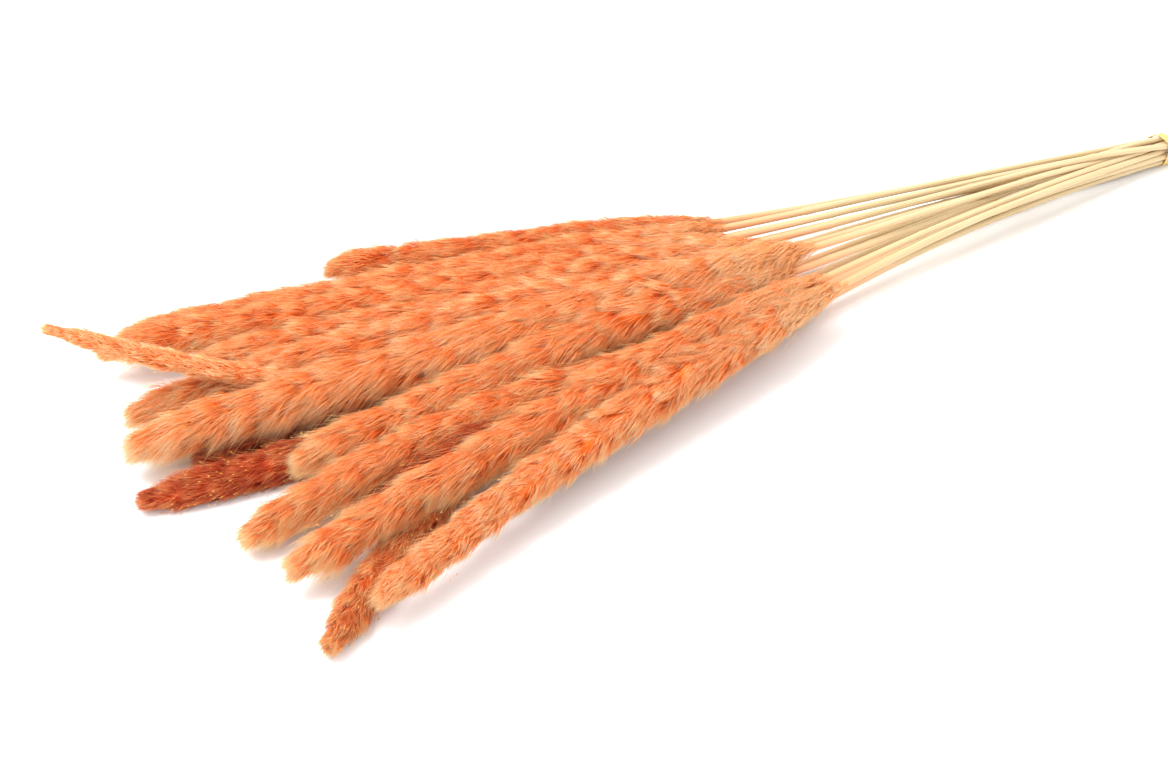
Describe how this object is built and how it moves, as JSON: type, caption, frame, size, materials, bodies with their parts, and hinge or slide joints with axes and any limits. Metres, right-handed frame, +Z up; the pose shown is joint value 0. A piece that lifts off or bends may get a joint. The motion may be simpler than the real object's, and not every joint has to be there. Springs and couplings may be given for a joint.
{
  "type": "bundle of miscanthus",
  "caption": "Tied bunch of dried, dyed miscanthus: slender straw stems fan out from a stretchy tie into soft feathery plumes. Lies on its side.",
  "frame": {"origin": "on the surface it lies on, under the middle of the whole bunch", "axes": "+X along the bunch toward the cut stem ends, the plumes toward -X; +Z up; +Y to the left of someone who looks from the plumes toward the cut ends"},
  "size_m": [0.7682, 0.3026, 0.0805],
  "materials": {
    "stem": "dry, satin, finely ribbed straw",
    "plume": "soft, matte, dyed seed hair",
    "tie": "satin, slightly translucent elastic"
  },
  "bodies": {
    "root": {"stem_01": "stem", "stem_02": "stem", "stem_03": "stem", "stem_04": "stem", "stem_05": "stem", "stem_06": "stem", "stem_07": "stem", "stem_08": "stem", "stem_09": "stem", "stem_10": "stem", "stem_11": "stem", "stem_12": "stem", "stem_13": "stem", "stem_14": "stem", "stem_15": "stem", "stem_16": "stem", "stem_17": "stem", "stem_18": "stem", "plume_01": "plume", "plume_02": "plume", "plume_03": "plume", "plume_04": "plume", "plume_05": "plume", "plume_06": "plume", "plume_07": "plume", "plume_08": "plume", "plume_09": "plume", "plume_10": "plume", "plume_11": "plume", "plume_12": "plume", "plume_13": "plume", "plume_14": "plume", "plume_15": "plume", "plume_16": "plume", "plume_17": "plume", "plume_18": "plume", "elastic_tie": "tie"}
  },
  "joints": []
}
